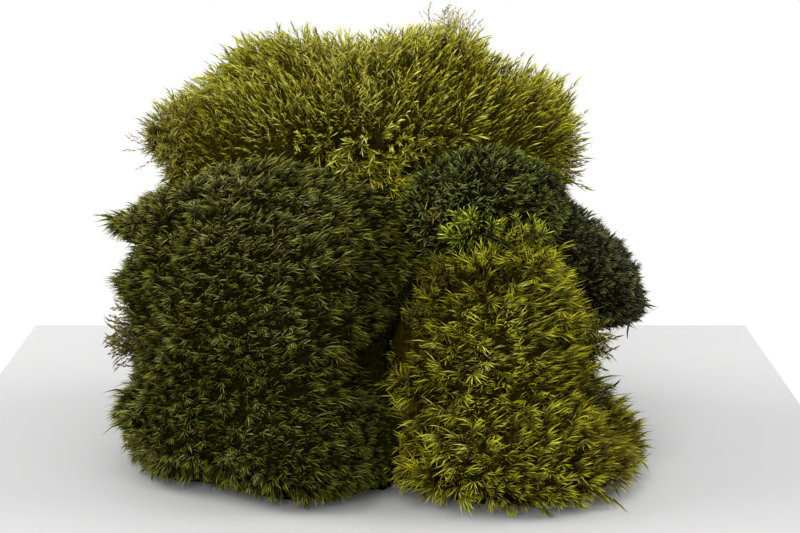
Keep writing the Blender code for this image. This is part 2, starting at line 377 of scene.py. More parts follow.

# Each moss. spacing is between shoots; root and mat are depths below the cushion's smooth form, and
# lump is the height of its swellings. A shoot has a stem, and leaves with so many bends, a length and
# a width; spread is how far they open in degrees, curl how far they bend towards the shoot's hook,
# one_sided how far they turn to its side, and droop and sweep how far leaves and stem bend over. out,
# up and fan are the pulls on its way, and the fan's heart is at a share of the width and a level;
# hook_down is how far it hooks down, gather its pull to the nearest tuft, and stray the dice's part.
# low, mid and high are its colours by tint, high partly a painted greyish sheen; tip is that of the
# leaves' tips, partly a painted highlight; and shade the heights on the leaf map where the foot's
# painted shade is dark, dim and gone. pieces runs from front to rear.
MOSSES = {
    "upper_moss": dict(
        spacing=0.0026, root=0.007, mat=0.0062, lump=0.003, stem=0.0132,
        leaves=8, bends=2, leaf=0.0052, width=0.00086,
        spread=14, curl=0.45, one_sided=0.3, droop=0.0, sweep=0.2, shade=(0.06, 0.28, 0.54),
        out=0.38, up=1.15, fan=0.34, heart=(0.5, 0.0), hook_down=0.0, gather=0.25, stray=0.25,
        low=(0.115, 0.094, 0.004), mid=(0.298, 0.288, 0.002), high=(0.34, 0.338, 0.058),
        tip=(0.44, 0.44, 0.29), pieces=("front", "rear"), spots=UPPER_SPOTS,
    ),
    "left_moss": dict(
        spacing=0.0024, root=0.005, mat=0.0048, lump=0.0026, stem=0.0032,
        leaves=7, bends=2, leaf=0.0072, width=0.00085,
        spread=32, curl=0.8, one_sided=0.6, droop=0.0, sweep=0.2, shade=(0.04, 0.26, 0.6),
        out=0.3, up=1.1, fan=0.45, heart=(0.3, 0.1), hook_down=0.8, gather=0.3, stray=0.34,
        low=(0.038, 0.04, 0.003), mid=(0.13, 0.142, 0.004), high=(0.176, 0.172, 0.056),
        tip=(0.33, 0.34, 0.18), pieces=("front", "middle", "rear"), spots=LEFT_SPOTS,
    ),
    "front_moss": dict(
        spacing=0.0027, root=0.0062, mat=0.0056, lump=0.0045, stem=0.0085,
        leaves=9, bends=2, leaf=0.0092, width=0.0009,
        spread=30, curl=0.75, one_sided=0.55, droop=0.0, sweep=0.34, shade=(0.06, 0.28, 0.58),
        out=0.3, up=1.2, fan=0.36, heart=(0.3, -0.85), hook_down=-0.1, gather=0.45, stray=0.32,
        low=(0.1, 0.078, 0.003), mid=(0.34, 0.34, 0.004), high=(0.325, 0.334, 0.056),
        tip=(0.42, 0.43, 0.26), pieces=("front", "rear"), spots=FRONT_SPOTS,
    ),
    "middle_moss": dict(
        spacing=0.0024, root=0.0034, mat=0.0034, lump=0.002, stem=0.0026,
        leaves=6, bends=2, leaf=0.0062, width=0.00085,
        spread=30, curl=0.75, one_sided=0.3, droop=0.0, sweep=0.25, shade=(0.1, 0.36, 0.66),
        out=0.36, up=0.8, fan=0.75, heart=(0.45, 0.0), hook_down=0.1, gather=0.3, stray=0.4,
        low=(0.03, 0.024, 0.003), mid=(0.106, 0.142, 0.006), high=(0.188, 0.228, 0.06),
        tip=(0.38, 0.43, 0.2), pieces=("all",), spots=MIDDLE_SPOTS,
    ),
    "right_moss": dict(
        spacing=0.0024, root=0.0034, mat=0.0034, lump=0.002, stem=0.0022,
        leaves=6, bends=2, leaf=0.005, width=0.0008,
        spread=26, curl=0.45, one_sided=0.4, droop=0.05, sweep=0.2, shade=(0.1, 0.36, 0.66),
        out=0.5, up=0.45, fan=0.55, heart=(0.3, 0.1), hook_down=0.3, gather=0.25, stray=0.3,
        low=(0.028, 0.023, 0.006), mid=(0.092, 0.1, 0.028), high=(0.18, 0.192, 0.072),
        tip=(0.28, 0.29, 0.16), pieces=("all",), spots=RIGHT_SPOTS,
    ),
}

# Loose strands: cushion, place, way, scatter, swing, count, length, width, curl and tint.
WISPS = (
    ("upper_moss", (-0.15, 0.02, 0.196), (-1.0, 0.0, 0.3), 0.008, 0.4, 12, 0.015, 0.001, 2.6, 0.4),
    ("upper_moss", (0.048, 0.045, 0.256), (0.2, 0.0, 1.0), 0.01, 0.4, 16, 0.015, 0.001, 3.0, 0.4),
    ("left_moss", (-0.152, -0.05, 0.08), (-1.0, -0.1, -0.2), 0.01, 0.35, 20, 0.019, 0.0012, 2.0, 0.25),
    ("left_moss", (-0.152, -0.06, 0.094), (-1.0, -0.1, 0.3), 0.014, 0.35, 12, 0.015, 0.0011, 1.8, 0.35),
    ("left_moss", (-0.158, -0.045, 0.151), (-1.0, 0.0, -0.1), 0.006, 0.25, 12, 0.018, 0.001, 0.9, 0.6),
    ("front_moss", (0.132, -0.06, 0.062), (1.0, -0.1, 0.1), 0.014, 0.4, 24, 0.022, 0.0011, 1.6, 0.15),
    ("front_moss", (0.154, -0.095, 0.003), (1.0, -0.3, 0.1), 0.003, 0.3, 4, 0.018, 0.0013, 1.2, 0.35),
    ("middle_moss", (0.03, -0.088, 0.163), (0.1, -0.8, 0.3), 0.006, 0.6, 40, 0.006, 0.0009, 1.5, 0.72),
    ("right_moss", (0.16, -0.04, 0.084), (-0.35, -0.3, -0.9), 0.001, 0.08, 2, 0.028, 0.0016, 1.8, 0.1),
    ("right_moss", (0.158, -0.04, 0.092), (1.0, -0.2, -0.3), 0.006, 0.4, 10, 0.014, 0.001, 2.6, 0.05),
)

# The brown fringe at the left side: height, lift and count of each level, and its places along it.
FRINGE_LEVELS = ((0.09, 0.0, 2), (0.084, 0.0, 3), (0.078, 0.0, 4), (0.072, -0.1, 3), (0.066, -0.1, 2))
FRINGE_PLACES = (-0.078, -0.056, -0.034, -0.008)

# Tufts of other shoots on a cushion: their moss, and the places, ways, radii and counts of them.
TUSSOCKS = {
    "front_moss_fresh": ("front_moss", dict(
        rise=0.008, stem=0.004, leaves=9, bends=2, leaf=0.009, width=0.0011,
        spread=34, curl=0.5, one_sided=0.1, droop=0.1, sweep=0.1, stray=0.55, shade=(0.1, 0.38, 0.7),
        low=(0.12, 0.13, 0.004), mid=(0.3, 0.395, 0.01), high=(0.42, 0.54, 0.045),
        tip=(0.52, 0.6, 0.17),
    ), (
        ((0.052, -0.1, 0.16), (-0.4, -0.5, 0.6), 0.0045, 11),
        ((0.062, -0.1, 0.156), (0.3, -0.5, 0.7), 0.0035, 4),
        ((0.046, -0.098, 0.147), (-0.7, -0.5, 0.3), 0.0045, 11),
        ((0.081, -0.102, 0.155), (-0.1, -0.4, 0.9), 0.004, 9),
        ((0.092, -0.098, 0.15), (0.4, -0.4, 0.7), 0.004, 5),
    )),
    "front_moss_crest": ("front_moss", dict(
        rise=0.003, stem=0.0085, leaves=9, bends=2, leaf=0.0092, width=0.0008,
        spread=25, curl=0.6, one_sided=0.6, droop=0.0, sweep=0.22, stray=0.45, shade=(0.1, 0.33, 0.6),
        low=(0.1, 0.078, 0.003), mid=(0.35, 0.345, 0.003), high=(0.4, 0.41, 0.04),
        tip=(0.52, 0.53, 0.24),
    ), (
        ((0.05, -0.096, 0.134), (-0.3, -0.5, 0.9), 0.0075, 26),
        ((0.064, -0.1, 0.141), (-0.1, -0.5, 0.9), 0.007, 30),
        ((0.08, -0.101, 0.143), (0.1, -0.5, 0.9), 0.007, 30),
        ((0.094, -0.098, 0.136), (0.3, -0.5, 0.9), 0.007, 22),
    )),
    # Its colours are darker than the front moss's, as painted shade in the valley.
    "front_moss_valley": ("front_moss", dict(
        rise=-0.001, stem=0.01, leaves=9, bends=2, leaf=0.0066, width=0.0009,
        spread=32, curl=0.6, one_sided=0.3, droop=0.0, sweep=0.3, stray=0.5, shade=(0.06, 0.26, 0.6),
        low=(0.036, 0.026, 0.005), mid=(0.118, 0.104, 0.005), high=(0.25, 0.25, 0.02),
        tip=(0.36, 0.37, 0.14),
    ), (
        ((0.034, -0.08, 0.126), (-0.3, -0.6, 0.8), 0.006, 24),
        ((0.026, -0.084, 0.114), (-0.4, -0.6, 0.7), 0.006, 26),
        ((0.02, -0.088, 0.102), (-0.4, -0.6, 0.6), 0.006, 26),
    )),
    # Its dark colours are partly brown and partly painted shade under the right cushion.
    "front_moss_ragged": ("front_moss", dict(
        rise=-0.001, stem=0.015, leaves=13, bends=2, leaf=0.0066, width=0.0013,
        spread=36, curl=0.9, one_sided=0.4, droop=0.0, sweep=0.4, stray=0.45, shade=(0.06, 0.26, 0.6),
        low=(0.026, 0.02, 0.003), mid=(0.095, 0.09, 0.005), high=(0.19, 0.182, 0.025),
        tip=(0.36, 0.36, 0.14),
    ), (
        ((0.126, -0.072, 0.09), (1.0, -0.6, 0.4), 0.005, 18),
        ((0.13, -0.072, 0.08), (1.0, -0.6, 0.4), 0.005, 24),
        ((0.134, -0.072, 0.07), (1.0, -0.6, 0.3), 0.005, 24),
        ((0.138, -0.074, 0.058), (1.0, -0.6, 0.3), 0.005, 20),
    )),
    "left_moss_fringe": ("left_moss", dict(
        rise=-0.002, stem=0.015, leaves=13, bends=2, leaf=0.0048, width=0.0014,
        spread=26, curl=0.8, one_sided=0.5, droop=0.1, sweep=0.45, stray=0.2, shade=(0.0, 0.12, 0.5),
        low=(0.04, 0.028, 0.004), mid=(0.095, 0.082, 0.01), high=(0.17, 0.15, 0.03),
        tip=(0.26, 0.24, 0.1),
    ), tuple(
        ((-0.16, y, z), (-1.0, -0.1, lift), 0.005, count)
        for z, lift, count in FRINGE_LEVELS
        for y in FRINGE_PLACES
    )),
    "upper_moss_wisps": ("upper_moss", dict(
        rise=0.001, stem=0.013, leaves=13, bends=2, leaf=0.006, width=0.001,
        spread=17, curl=0.35, one_sided=0.3, droop=0.0, sweep=0.35, stray=0.3, shade=(0.0, 0.1, 0.25),
        low=(0.13, 0.11, 0.006), mid=(0.29, 0.28, 0.012), high=(0.4, 0.4, 0.07),
        tip=(0.52, 0.52, 0.26),
    ), (
        ((-0.112, 0.02, 0.222), (-1.0, 0.0, 0.3), 0.006, 8),
        ((-0.102, 0.025, 0.23), (-1.0, 0.0, 0.2), 0.006, 9),
        ((-0.09, 0.03, 0.238), (-0.9, 0.0, 0.4), 0.006, 9),
        ((-0.08, 0.04, 0.245), (-0.7, 0.0, 0.8), 0.006, 9),
        ((-0.068, 0.04, 0.246), (-0.6, 0.0, 0.9), 0.006, 8),
        ((-0.05, 0.04, 0.245), (-0.4, 0.0, 1.0), 0.006, 8),
        ((-0.025, 0.04, 0.244), (-0.1, 0.0, 1.0), 0.008, 6),
        ((0.108, 0.045, 0.222), (0.3, 0.0, 1.0), 0.008, 7),
    )),
    "upper_moss_sprig": ("upper_moss", dict(
        rise=0.005, stem=0.012, leaves=14, bends=2, leaf=0.0036, width=0.0009,
        spread=46, curl=1.3, one_sided=0.3, droop=0.1, sweep=0.55, stray=0.42, shade=(0.0, 0.1, 0.25),
        low=(0.08, 0.056, 0.01), mid=(0.19, 0.16, 0.025), high=(0.34, 0.32, 0.08),
        tip=(0.46, 0.44, 0.24),
    ), (
        ((0.036, 0.042, 0.252), (0.0, 0.0, 1.0), 0.005, 14),
        ((0.046, 0.042, 0.252), (0.0, 0.0, 1.0), 0.005, 16),
        ((0.054, 0.042, 0.248), (0.2, 0.0, 0.9), 0.004, 8),
        ((-0.15, 0.01, 0.192), (-1.0, -0.2, 0.0), 0.006, 6),
    )),
    "upper_moss_lobe": ("upper_moss", dict(
        rise=-0.001, stem=0.0055, leaves=9, bends=2, leaf=0.005, width=0.0009,
        spread=34, curl=1.0, one_sided=0.4, droop=0.1, sweep=0.8, stray=0.6, shade=(0.06, 0.26, 0.6),
        low=(0.06, 0.044, 0.005), mid=(0.2, 0.18, 0.006), high=(0.33, 0.32, 0.05),
        tip=(0.46, 0.44, 0.2),
    ), (
        ((-0.144, 0.004, 0.187), (-1.0, -0.6, 0.3), 0.007, 34),
        ((-0.14, 0.004, 0.196), (-0.9, -0.6, 0.5), 0.009, 40),
        ((-0.13, -0.004, 0.186), (-0.6, -1.0, 0.2), 0.01, 46),
        ((-0.122, -0.004, 0.2), (-0.5, -1.0, 0.5), 0.01, 40),
        ((-0.116, -0.014, 0.184), (-0.4, -1.0, 0.1), 0.009, 36),
        ((0.018, -0.052, 0.188), (0.3, -0.9, 0.3), 0.005, 16),
        ((0.03, -0.048, 0.193), (0.2, -0.9, 0.4), 0.005, 16),
        ((0.044, -0.044, 0.196), (0.2, -0.9, 0.5), 0.005, 14),
    )),
    "upper_moss_drape": ("upper_moss", dict(
        rise=0.001, stem=0.005, leaves=6, bends=3, leaf=0.011, width=0.001,
        spread=16, curl=0.5, one_sided=0.35, droop=0.0, sweep=0.2, stray=0.45, shade=(0.1, 0.34, 0.62),
        low=(0.16, 0.135, 0.005), mid=(0.4, 0.385, 0.008), high=(0.5, 0.485, 0.045),
        tip=(0.6, 0.58, 0.16),
    ), (
        ((-0.034, -0.034, 0.191), (0.4, -0.5, -0.6), 0.006, 26),
        ((-0.016, -0.042, 0.187), (0.6, -0.5, -0.5), 0.0065, 36),
        ((0.0, -0.05, 0.184), (0.7, -0.5, -0.4), 0.006, 36),
        ((0.01, -0.056, 0.18), (0.8, -0.5, -0.4), 0.0045, 22),
    )),
}
for moss in MOSSES.values():
    moss["spots"] = tuple(Spot(*row) for row in moss["spots"])


def new_object(name, mesh):
    thing = bpy.data.objects.new(name, mesh)
    bpy.context.scene.collection.objects.link(thing)
    return thing


def dress(node, piece):
    """Puts a finished piece on the clump's body, in place of the plain cushion."""
    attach(piece, "root")
    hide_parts(node)


def surface_material(name, roughness, shine):
    """A Principled surface with a plain finish, its nodes and its links."""
    material = bpy.data.materials.new(name)
    material.use_nodes = True
    nodes = material.node_tree.nodes
    surface = nodes["Principled BSDF"]
    surface.inputs["Roughness"].default_value = roughness
    surface.inputs["Metallic"].default_value = 0.0
    surface.inputs["Specular IOR Level"].default_value = shine
    return material, nodes, material.node_tree.links, surface


def colour_ramp(nodes, stops):
    """A colour ramp from its stops, each a place and a colour."""
    ramp = nodes.new("ShaderNodeValToRGB")
    elements = ramp.color_ramp.elements
    while len(elements) > 1:
        elements.remove(elements[-1])
    elements[0].position = stops[0][0]
    elements[0].color = (*stops[0][1], 1.0)
    for place, colour in stops[1:]:
        element = elements.new(place)
        element.color = (*colour, 1.0)
    return ramp


def mixed(nodes, links, kind, share, first, second):
    """A colour mix of two sockets; the share is a number or a socket."""
    mix = nodes.new("ShaderNodeMix")
    mix.data_type = "RGBA"
    mix.blend_type = kind
    if isinstance(share, float):
        mix.inputs["Factor"].default_value = share
    else:
        links.new(share, mix.inputs["Factor"])
    links.new(first, mix.inputs[MIX_FIRST])
    links.new(second, mix.inputs[MIX_SECOND])
    return mix.outputs[MIX_RESULT]


def leaf_map(nodes, links):
    """The two sockets of the leaf map: tint and height."""
    place = nodes.new("ShaderNodeUVMap")
    place.uv_map = MAP_NAME
    parts = nodes.new("ShaderNodeSeparateXYZ")
    links.new(place.outputs["UV"], parts.inputs["Vector"])
    return parts.outputs["X"], parts.outputs["Y"]


def shoot_material(name, moss):
    """Leaf colour from the leaf map: tint across it; along it, painted shade at the foot and a tip that is
    partly a painted highlight.
    """
    material, nodes, links, surface = surface_material(name, LEAF_ROUGHNESS, LEAF_SHINE)
    across, along = leaf_map(nodes, links)
    tint = colour_ramp(nodes, ((0.0, moss["low"]), (0.5, moss["mid"]), (1.0, moss["high"])))
    links.new(across, tint.inputs["Fac"])
    shade = colour_ramp(nodes, tuple(zip(moss["shade"], (SHADE_DARK, SHADE_DIM, WHITE))))
    links.new(along, shade.inputs["Fac"])
    shaded = mixed(nodes, links, "MULTIPLY", 1.0, tint.outputs["Color"], shade.outputs["Color"])
    # The pale tip: partly the leaves' own colour, partly a painted highlight.
    tip = colour_ramp(nodes, ((0.0, moss["tip"]),))
    share = colour_ramp(nodes, ((TIP_AND_HIGHLIGHT_START, (0.0,) * 3), (1.0, (TIP_AND_HIGHLIGHT_SHARE,) * 3)))
    links.new(along, share.inputs["Fac"])
    colour = mixed(nodes, links, "MIX", share.outputs["Color"], shaded, tip.outputs["Color"])
    links.new(colour, surface.inputs["Base Color"])
    return material


def mat_material(name, moss):
    """Old brown stems and humus under the shoots, darkened with painted shade."""
    material, nodes, links, surface = surface_material(name, MAT_ROUGHNESS, 0.0)
    place = nodes.new("ShaderNodeTexCoord")
    grain = nodes.new("ShaderNodeTexNoise")
    grain.inputs["Scale"].default_value = MAT_GRAIN
    grain.inputs["Detail"].default_value = MAT_DETAIL
    links.new(place.outputs["Object"], grain.inputs["Vector"])
    colour = colour_ramp(nodes, tuple(
        (height, tuple(share * part for part in moss["low"])) for height, share in MAT_TONES_AND_SHADE
    ))
    links.new(grain.outputs["Fac"], colour.inputs["Fac"])
    links.new(colour.outputs["Color"], surface.inputs["Base Color"])
    bump = nodes.new("ShaderNodeBump")
    bump.inputs["Strength"].default_value = 1.0
    bump.inputs["Distance"].default_value = MAT_BUMP
    links.new(grain.outputs["Fac"], bump.inputs["Height"])
    links.new(bump.outputs["Normal"], surface.inputs["Normal"])
    return material


def strand_material(name):
    """Dead strands, coloured by the tint in the leaf map."""
    material, nodes, links, surface = surface_material(name, STRAND_ROUGHNESS, STRAND_SHINE)
    across, _ = leaf_map(nodes, links)
    tint = colour_ramp(nodes, STRAND_COLOURS)
    links.new(across, tint.inputs["Fac"])
    links.new(tint.outputs["Color"], surface.inputs["Base Color"])
    return material


def welded(node):
    """The CAD cushion's mesh with its loose triangles joined."""
    form = bmesh.new()
    form.from_mesh(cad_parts[node].data)
    bmesh.ops.remove_doubles(form, verts=form.verts[:], dist=WELD)
    form.normal_update()
    return form


def skin_of(node):
    """The cushion's smooth form, without its tufts, and its tuft tips."""
    form = welded(node)
    tips = [vertex.co.copy() for vertex in form.verts if len(vertex.link_edges) == TUFT_TIP_EDGES]
    mesh = bpy.data.meshes.new(f"{node}_skin")
    form.to_mesh(mesh)
    form.free()
    skin = new_object(mesh.name, mesh)
    remesh = skin.modifiers.new("Even", "REMESH")
    remesh.mode = "VOXEL"
    remesh.voxel_size = SKIN_VOXEL
    smooth = skin.modifiers.new("Smooth", "SMOOTH")
    smooth.factor = SKIN_FACTOR
    smooth.iterations = SKIN_ROUNDS
    bpy.context.view_layer.update()
    graph = bpy.context.evaluated_depsgraph_get()
    made = bpy.data.meshes.new_from_object(skin.evaluated_get(graph))
    bpy.data.objects.remove(skin, do_unlink=True)
    return made, tips


def tree_of(meshes):
    """A search tree of the faces of several meshes."""
    form = bmesh.new()
    for mesh in meshes:
        form.from_mesh(mesh)
    tree = BVHTree.FromBMesh(form)
    form.free()
    return tree


def mesh_arrays(mesh):
    """Corner points, corner normals and areas of the mesh's triangles."""
    mesh.calc_loop_triangles()
    points = np.empty(len(mesh.vertices) * 3)
    mesh.vertices.foreach_get("co", points)
    normals = np.empty(len(mesh.vertices) * 3)
    mesh.vertex_normals.foreach_get("vector", normals)
    corners = np.empty(len(mesh.loop_triangles) * 3, dtype=np.int32)
    mesh.loop_triangles.foreach_get("vertices", corners)
    points = points.reshape(-1, 3)[corners].reshape(-1, 3, 3)
    normals = normals.reshape(-1, 3)[corners].reshape(-1, 3, 3)
    sides = np.cross(points[:, 1] - points[:, 0], points[:, 2] - points[:, 0])
    return points, normals, np.linalg.norm(sides, axis=1) / 2


def scattered_points(mesh, spacing, dice):
    """Many random points all over the mesh, with the normals there."""
    points, normals, areas = mesh_arrays(mesh)
    count = int(areas.sum() / spacing**2 * CANDIDATES)
    chosen = dice.choice(len(areas), size=count, p=areas / areas.sum())
    one, two = dice.random(count), dice.random(count)
    over = one + two > 1
    one[over], two[over] = 1 - one[over], 1 - two[over]
    weights = np.stack((1 - one - two, one, two), axis=1)[:, :, None]
    return (points[chosen] * weights).sum(axis=1), (normals[chosen] * weights).sum(axis=1)


def spaced_points(mesh, spacing, dice):
    """Points all over the mesh, none closer than the spacing, with the normals there."""
    places, facing = scattered_points(mesh, spacing, dice)
    cells = {}
    kept = []
    for number, place in enumerate(places):
        x, y, z = (int(math.floor(part / spacing)) for part in place)
        near = (
            other
            for dx in (-1, 0, 1)
            for dy in (-1, 0, 1)
            for dz in (-1, 0, 1)
            for other in cells.get((x + dx, y + dy, z + dz), ())
        )
        if all(math.dist(place, places[other]) >= spacing for other in near):
            cells.setdefault((x, y, z), []).append(number)
            kept.append(number)
    return [(Vector(places[number]), Vector(facing[number]).normalized()) for number in kept]


def leaf(form, foot, start, end, side, width, length, bends):
    """A narrow leaf from its foot, leaving along start and bending to end; gives its vertices."""
    made = bmesh.ops.create_grid(form, x_segments=1, y_segments=bends, size=0.5)["verts"]
    facts = {}
    for vertex in made:
        along = vertex.co.y + 0.5
        across = math.copysign(1.0, vertex.co.x)
        middle = foot + length * (start * (along - along**2 / 2) + end * (along**2 / 2))
        half = width / 2 * (1 - along**LEAF_TAPER) * (LEAF_BELLY + LEAF_BELLY * along)
        vertex.co = middle + side * across * half
        facts[vertex] = (along, across)
    return facts


def shoot_leaf(form, moss, number, rise, dice):
    """One leaf of a shoot, turned on from the one below it and hooked to the shoot's side."""
    turn = (number * GOLDEN_TURN + dice.uniform(-TURN_SWING, TURN_SWING)) % (2 * math.pi) - math.pi
    turn *= 1 - SIDE_PULL * moss["one_sided"]
    out = Vector((math.cos(turn), math.sin(turn), 0))
    opening = math.radians(moss["spread"]) * (FOOT_OPENING - OPENING_LOSS * rise)
    opening *= dice.uniform(*LEAF_SWING)
    start = UP * math.cos(opening) + out * math.sin(opening)
    bend = moss["curl"] * dice.uniform(*LEAF_SWING)
    hook = Vector((1, 0, 0)) * moss["one_sided"] + out * (1 - moss["one_sided"])
    end = (start + (hook - UP * moss["droop"]) * bend * LEAF_HOOK).normalized()
    side = UP.cross(out).normalized()
    length = moss["leaf"] * dice.uniform(*LEAF_LENGTHS) * (1.0 - LEAF_LOSS * rise)
    foot = UP * rise * moss["stem"]
    return leaf(form, foot, start, end, side, moss["width"], length, moss["bends"])


def shoot(moss, dice):
    """One leafy shoot growing along +Z and hooking to +X: its corners, faces and leaf map."""
    form = bmesh.new()
    heights = form.verts.layers.float.new("height")
    sides = form.verts.layers.float.new("side")
    shifts = form.verts.layers.float.new("shift")
    reach = moss["stem"] + TOP_LEAF_REACH * moss["leaf"]
    for number in range(moss["leaves"]):
        rise = LOWEST_LEAF + (1 - LOWEST_LEAF) * number / (moss["leaves"] - 1)
        facts = shoot_leaf(form, moss, number, rise, dice)
        shift = dice.gauss(0, LEAF_SHIFT)
        for vertex, (along, across) in facts.items():
            height = vertex.co.z / reach
            vertex.co.x += moss["sweep"] * reach * height**2
            # One side of each leaf is darkened with painted shade of a keel.
            lit = LIT_ALONG * along + LIT_UP * min(1.0, height) - KEEL_SHADE * (across < 0)
            vertex[heights] = max(LIT_LEAST * (1 + along), lit)
            vertex[sides] = across
            vertex[shifts] = shift
        tip = [vertex for vertex, (along, across) in facts.items() if along > 1 - WELD]
        for vertex in tip:
            vertex[sides] = 0.0
            vertex[heights] = LIT_ALONG + LIT_TIP * min(1.0, vertex.co.z / reach)
        bmesh.ops.remove_doubles(form, verts=tip, dist=WELD)
    bmesh.ops.triangulate(form, faces=form.faces[:])
    form.verts.index_update()
    corners = np.array([vertex.co[:] for vertex in form.verts])
    faces = np.array([[vertex.index for vertex in face.verts] for face in form.faces])
    chart = np.array([(vertex[sides], vertex[heights], vertex[shifts]) for vertex in form.verts])
    form.free()
    return corners, faces, chart


def placed_shoots(kinds, stands):
    """The corners, faces and leaf maps of all the shoots, kind by kind."""
    corner_rows, face_rows, chart_rows = [], [], []
    count = 0
    for kind, (corners, faces, chart) in enumerate(kinds):
        mine = [stand for stand in stands if stand.kind == kind]
        if not mine:
            continue
        feet = np.array([stand.foot[:] for stand in mine])
        axes = np.array([[axis[:] for axis in stand.axes] for stand in mine])
        sizes = np.array([stand.size for stand in mine])
        tints = np.array([stand.tint for stand in mine])
        placed = np.einsum("vk,mkc->mvc", corners, axes) * sizes[:, None, None] + feet[:, None, :]
        placed[:, :, 2] = np.maximum(placed[:, :, 2], FLOOR_CLEAR)
        offsets = count + np.arange(len(mine))[:, None, None] * len(corners)
        corner_rows.append(placed.reshape(-1, 3))
        face_rows.append((faces[None, :, :] + offsets).reshape(-1, 3))
        across = np.clip(tints[:, None] + chart[None, :, 2], MAP_LOW, MAP_HIGH)
        across += chart[None, :, 0] * MAP_WIDTH / 2
        along = np.broadcast_to(chart[None, :, 1], across.shape)
        chart_rows.append(np.clip(np.stack((across, along), axis=2), 0.0, 1.0).reshape(-1, 2))
        count += len(mine) * len(corners)
    return np.concatenate(corner_rows), np.concatenate(face_rows), np.concatenate(chart_rows)


def joined_shoots(name, kinds, stands, material):
    """One mesh of all the shoots, because there are thousands of them."""
    corners, faces, chart = placed_shoots(kinds, stands)
    mesh = bpy.data.meshes.new(name)
    mesh.vertices.add(len(corners))
    mesh.vertices.foreach_set("co", corners.ravel())
    mesh.loops.add(faces.size)
    mesh.loops.foreach_set("vertex_index", faces.ravel().astype(np.int32))
    mesh.polygons.add(len(faces))
    mesh.polygons.foreach_set("loop_start", np.arange(0, faces.size, 3, dtype=np.int32))
    mesh.polygons.foreach_set("use_smooth", np.ones(len(faces), dtype=bool))
    mesh.update(calc_edges=True)
    layer = mesh.uv_layers.new(name=MAP_NAME)
    layer.data.foreach_set("uv", chart[faces.ravel()].ravel())
    mesh.validate()
    mesh.materials.append(material)
    return new_object(name, mesh)


def near_foot(place):
    """How near a place is to the floor: 1 on it, 0 from FOOT_HEIGHT up."""
    return max(0.0, 1 - place.z / FOOT_HEIGHT)


def near_spots(moss, place):
    """The cushion's spots that reach a place, each with its strength there."""
    found = []
    for spot in moss["spots"]:
        away = (place - Vector(spot.place)) / spot.radius
        away.y /= SPOT_DEPTH
        strength = math.exp(-away.length_squared)
        if strength > LEAST_STRENGTH:
            found.append((strength, spot))
    return found


def lump(moss, place, spots):
    """How far the cushion's surface stands out or in at a place."""
    wide = noise.noise(place / WIDE_LUMP + Vector((*LUMP_SHIFT, len(moss["pieces"]))))
    small = noise.noise(place / SMALL_LUMP)
    rise = moss["lump"] * (WIDE_SHARE * wide + SMALL_SHARE * small)
    rise += sum(strength * spot.rise for strength, spot in spots)
    return rise - FOOT_TAPER * near_foot(place)


def growth(moss, place, facing, low, high):
    """The way a shoot grows: out of the cushion, up, and fanned from the cushion's heart."""
    middle = (low + high) / 2
    half = (high - low) / 2
    share, level = moss["heart"]
    fan = Vector((
        (place.x - low.x - share * (high.x - low.x)) / half.x,
        (place.y - middle.y) / half.y * FAN_DEPTH,
        min(0.0, (place.z - middle.z) / half.z - level) * FAN_FALL,
    ))
    lift = moss["up"] * max(0.0, min(1.0, facing.z + LIFT_TILT))
    lift *= min(1.0, LIFT_LEAST + place.z / FOOT_LIFT)
    way = facing * moss["out"] + UP * lift + fan * moss["fan"]
    way -= UP * FOOT_LEAN * near_foot(place)
    inward = way.dot(facing)
    if inward < LEAST_RISE:
        way += facing * (LEAST_RISE - inward)
    return way.normalized()


def outlook(place, facing, neighbours):
    """The share of the sky over a place that no neighbour fills, and the way to its middle."""
    across = facing.orthogonal().normalized()
    start = place + facing * START_CLEAR
    free = 0
    way = Vector((0, 0, 0))
    for ring, (tilt, count) in enumerate(SKY_RINGS):
        for number in range(count):
            ray = facing * math.cos(tilt) + across * math.sin(tilt)
            ray.rotate(Matrix.Rotation(2 * math.pi * (number + 0.5 * ring) / count, 3, facing))
            meets_floor = start.z + ray.z * SIGHT < 0
            if not meets_floor and not neighbours.ray_cast(start, ray, SIGHT)[0]:
                free += 1
                way += ray
    return free / SKY_RAYS, way.normalized()


def within_reach(place):
    """Whether a tip stays about as near as the cushions' tufts reach."""
    for part, least, most in zip(place, cad_low, cad_high):
        margin = REACH_MARGIN * (most - least)
        if part > most + margin or (least < 0 and part < least - margin):
            return False
    return True


def hook_way(moss, place, facing, way, low, high, stray, turn):
    """The way a shoot hooks: aside from the cushion's heart, and down, square to its own way."""
    middle = (low + high) / 2
    aside = (place.x - low.x - moss["heart"][0] * (high.x - low.x)) / (high.x - middle.x)
    down = moss["hook_down"] + FOOT_DROOP * near_foot(place)
    hook = Vector((HOOK_ASIDE * aside, HOOK_OUT * facing.y, -down)) + stray
    hook = (hook - way * hook.dot(way)).normalized()
    hook.rotate(Matrix.Rotation(turn, 3, way))
    return hook


def shoot_size(stands_tall, edge, spots, dice):
    size = dice.uniform(*TALL_SIZES) if stands_tall else dice.uniform(*SHORT_SIZES)
    size *= TUFT_MIDDLE - TUFT_EDGE_LOSS * edge * edge
    size *= 1 + sum(strength * spot.size for strength, spot in spots)
    if dice.random() < LONG_SHARE:
        size *= LONG_SIZE
    return size


def shoot_tint(node, place, stands_tall, glow, share, spots, dice):
    # Tall shoots get painted light, and short, deeper ones painted shade.
    tint = TALL_LIGHT_TINT if stands_tall else -SHORT_SHADE_TINT
    patch = noise.noise(place / PATCH_SIZE + Vector((len(node), *PATCH_SHIFT)))
    tint += MIDDLE_TINT + PATCH_TINT * patch + TUFT_TINT * glow + DICE_TINT * dice.gauss(0, 1)
    tint += sum(strength * spot.tint for strength, spot in spots)
    # Painted shade where neighbouring cushions close off the sky.
    tint -= SEAM_PAINTED_SHADE * (1 - share) ** 2
    # Painted light on the shoots near the floor.
    tint += FOOT_PAINTED_LIGHT * near_foot(place)
    return min(MAP_HIGH, max(MAP_LOW, tint))


